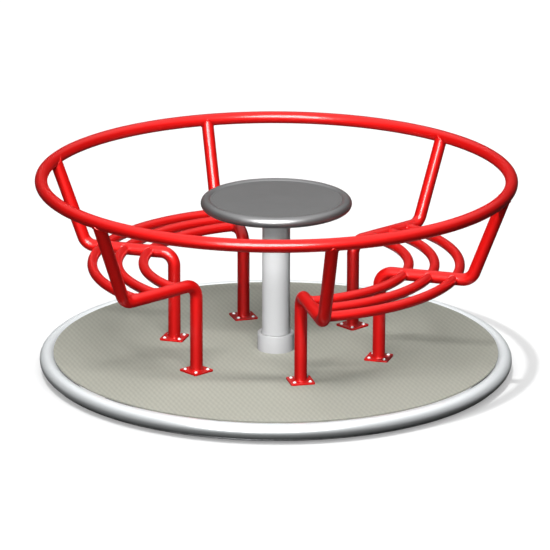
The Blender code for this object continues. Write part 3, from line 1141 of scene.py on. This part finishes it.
bpy.ops.mesh.primitive_plane_add(size=FLOOR_SIZE, location=(0, 0, 0))
floor = bpy.context.object
floor.name = "floor"
floor_paint = Finish("floor_paint", {"Base Color": FLOOR_GREY, "Roughness": 0.9})
floor.data.materials.append(floor_paint.material)
red_pieces = [piece for piece in dressed if piece["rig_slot"] == "red_paint"]
for piece in (*red_pieces, deck, floor):
    piece.visible_diffuse = False
for piece in (deck, floor):
    piece.visible_glossy = False
print("without bounced light:", len(red_pieces), "red pieces, the deck and the floor")

# %% [markdown]
# Light
#
# A studio gives each part of its subject a lamp, and keeps that lamp off the rest with
# flags. Lists do the same here: a lamp lights all but the pieces on its list, or only
# them. Most lamps are suns, because a sun shines the same everywhere. A low front light
# models the upright tubes, and a low back light is there for the views from behind. The
# glint light makes highlights only: the soft shading leaves it out. The key lamp leaves
# out the post and the rim, and all shared lamps leave out the floor and the deck. These
# have lamps of their own, because shared ones draw stripes and long shadows on them.
#
# The key lamp is a large globe above the front of the platform, so near that the inner
# sides of the handrail face it both on the left and on the right. A globe so near would
# leave the far side dim, so a Light Falloff node makes it fade more slowly.

# %% Hang the suns
LAMP_DISTANCE = 6.0
SUNS = {
    "front_light": {"side": -18, "rise": 12, "strength": 1.05, "softness": 16},
    "back_light": {"side": -172, "rise": 10, "strength": 1.5, "softness": 30},
    "glint_light": {"side": -4, "rise": 32, "strength": 10.0, "softness": 40},
    "rim_light": {"side": 14, "rise": 76, "strength": 3.3, "softness": 0},
    "post_light": {"side": -12, "rise": 30, "strength": 2.6, "softness": 14},
    "floor_glow": {"side": 30, "rise": 80, "strength": 1.7, "softness": 160},
    "floor_shadow": {"side": -50, "rise": 80, "strength": 1.1, "softness": 2},
    "floor_fill": {"side": 0, "rise": 90, "strength": 0.95, "softness": 0},
    "deck_fill": {"side": 0, "rise": 90, "strength": 0.95, "softness": 0},
}
SHADOWLESS_SUNS = ("rim_light", "floor_fill", "deck_fill")
MIRRORED_SUNS = ("front_light", "glint_light")
DECK_FILL_TINT = (0.96, 0.99, 1.0)


def towards(side, rise):
    """A direction, by its angles from the camera's side and from the ground, in degrees."""
    heading = CAMERA_AZIMUTH + math.radians(side)
    level = Vector((math.sin(heading), -math.cos(heading), 0))
    return level * math.cos(math.radians(rise)) + Vector((0, 0, math.sin(math.radians(rise))))


def add_sun(name, side, rise, strength, softness):
    """A far lamp, which shines the same everywhere."""
    direction = towards(side, rise)
    bpy.ops.object.light_add(type="SUN", location=direction * LAMP_DISTANCE)
    sun = bpy.context.object
    sun.name = name
    sun.rotation_euler = direction.to_track_quat("Z", "Y").to_euler()
    sun.visible_glossy = name in MIRRORED_SUNS
    sun.data.energy = strength
    sun.data.angle = math.radians(softness)
    sun.data.use_shadow = name not in SHADOWLESS_SUNS
    print(f"{name}: {rise} degrees up, strength {strength}")
    return sun


lamps = {name: add_sun(name, **settings) for name, settings in SUNS.items()}
lamps["glint_light"].visible_diffuse = False
lamps["deck_fill"].data.color = DECK_FILL_TINT


# %% Hang the key lamp
def place_at(side, reach, height):
    """A place at a height, so far out from the axis on one side."""
    return towards(side, 0) * reach + Vector((0, 0, height))


KEY_PLACE = place_at(side=-4, reach=1.8, height=2.9)
KEY_RADIUS = 0.5
KEY_ENERGY = 138

bpy.ops.object.light_add(type="POINT", location=KEY_PLACE, radius=KEY_RADIUS)
key = bpy.context.object
key.name = "key_light"
key.visible_glossy = False
key.data.energy = KEY_ENERGY
key.data.use_nodes = True
key_tree = key.data.node_tree
falloff = key_tree.nodes.new("ShaderNodeLightFalloff")
falloff.inputs["Strength"].default_value = 1.0
key_tree.links.new(falloff.outputs["Linear"], key_tree.nodes["Emission"].inputs["Strength"])
lamps["key_light"] = key
print("key_light at", [round(length, 2) for length in KEY_PLACE])

# %% [markdown]
# Two near lamps for the deck
#
# A soft box hangs low over the deck's near side, so that the deck grows a little darker
# towards the back. A strip light is long from left to right and narrow from top to
# bottom. It blurs all shadows but those of tubes that run its own way, so the front of
# the handrail draws one soft arc across the deck. The bluish deck_fill of the list above
# keeps the shadows from going brown.

# %% Hang the two near lamps
SOFT_BOX_PLACE = place_at(side=-20, reach=0.7, height=2.4)
SOFT_BOX_SIZE = 1.6
SOFT_BOX_ENERGY = 17
STRIP_PLACE = towards(side=0, rise=51) * 8.0
STRIP_TURN = STRIP_PLACE.to_track_quat("Z", "Y").to_euler()
STRIP_LENGTH = 5.0
STRIP_WIDTH = 0.45
STRIP_ENERGY = 390


def add_near_lamp(name, place, turn, energy, shape, width, height):
    """A round or long soft lamp at a place."""
    bpy.ops.object.light_add(type="AREA", location=place, rotation=turn)
    lamp = bpy.context.object
    lamp.name = name
    lamp.data.energy = energy
    lamp.data.shape = shape
    lamp.data.size = width
    lamp.data.size_y = height
    print(f"{name} at", [round(length, 2) for length in place])
    return lamp


lamps["soft_box"] = add_near_lamp(
    "soft_box", SOFT_BOX_PLACE, (0, 0, 0), SOFT_BOX_ENERGY, "ELLIPSE", SOFT_BOX_SIZE, SOFT_BOX_SIZE
)
lamps["strip_light"] = add_near_lamp(
    "strip_light", STRIP_PLACE, STRIP_TURN, STRIP_ENERGY, "RECTANGLE", STRIP_LENGTH, STRIP_WIDTH
)

# %% Say what each lamp lights
flats = [floor, deck]
post_pieces = [post, collar, head_plate]
matt_pieces = [piece for piece in dressed if piece["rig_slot"] in ("steel", "table_panel")]
LIGHTS_ALL_BUT = {
    "front_light": flats,
    "back_light": flats,
    "glint_light": flats + matt_pieces,
    "key_light": flats + post_pieces + [rim],
}
LIGHTS_ONLY = {
    "rim_light": [rim],
    "post_light": post_pieces,
    "floor_glow": [floor],
    "floor_shadow": [floor],
    "floor_fill": [floor],
    "deck_fill": [deck],
    "soft_box": [deck],
    "strip_light": [deck],
}


def list_pieces(lamp_name, pieces, state):
    """Give a lamp its list of pieces, to leave out or to light alone."""
    listed = bpy.data.collections.new(f"{lamp_name}_list")
    for piece in pieces:
        listed.objects.link(piece)
    for member in listed.collection_objects:
        member.light_linking.link_state = state
    lamps[lamp_name].light_linking.receiver_collection = listed


for lamp_name, pieces in LIGHTS_ALL_BUT.items():
    list_pieces(lamp_name, pieces, "EXCLUDE")
for lamp_name, pieces in LIGHTS_ONLY.items():
    list_pieces(lamp_name, pieces, "INCLUDE")
print(len(lamps), "lamps,", len(LIGHTS_ONLY), "of them for a few pieces only")

# %% [markdown]
# Sky
#
# The camera sees a plain pale backdrop, and the shading gets only a dim glow from it, so
# that the lamps do the work. Mirrored in steel and in paint, the sky is dark below and
# bright overhead, as the walls and the lit ceiling of a studio are.

# %% Paint the sky
SHADING_GLOW = 0.025
MIRRORED_SKY = {"From Min": 0.35, "From Max": 0.80, "To Min": 0.03, "To Max": 1.3}
BACKDROP = 0.92
WHITE = colour(1, 1, 1)

sky = bpy.data.worlds.new("sky")
sky.use_nodes = True
sky_tree = sky.node_tree


def sky_node(kind, **values):
    """A node of the sky, with its sockets set."""
    made = sky_tree.nodes.new(kind)
    for socket, value in values.items():
        made.inputs[socket].default_value = value
    return made


direction = sky_node("ShaderNodeTexCoord")
split = sky_node("ShaderNodeSeparateXYZ")
mirrored = sky_node("ShaderNodeMapRange", **MIRRORED_SKY)
ray = sky_node("ShaderNodeLightPath")
shaded = sky_node("ShaderNodeMix", A=SHADING_GLOW)
seen = sky_node("ShaderNodeMix", B=BACKDROP)
background = sky_tree.nodes["Background"]
background.inputs["Color"].default_value = WHITE
for output, socket in (
    (direction.outputs["Generated"], split.inputs[0]),
    (split.outputs["Z"], mirrored.inputs["Value"]),
    (ray.outputs["Is Glossy Ray"], shaded.inputs["Factor"]),
    (mirrored.outputs[0], shaded.inputs["B"]),
    (ray.outputs["Is Camera Ray"], seen.inputs["Factor"]),
    (shaded.outputs[0], seen.inputs["A"]),
    (seen.outputs[0], background.inputs["Strength"]),
):
    sky_tree.links.new(output, socket)
bpy.context.scene.world = sky
bpy.context.scene.view_settings.view_transform = "Standard"
print("sky:", len(sky_tree.nodes), "nodes")
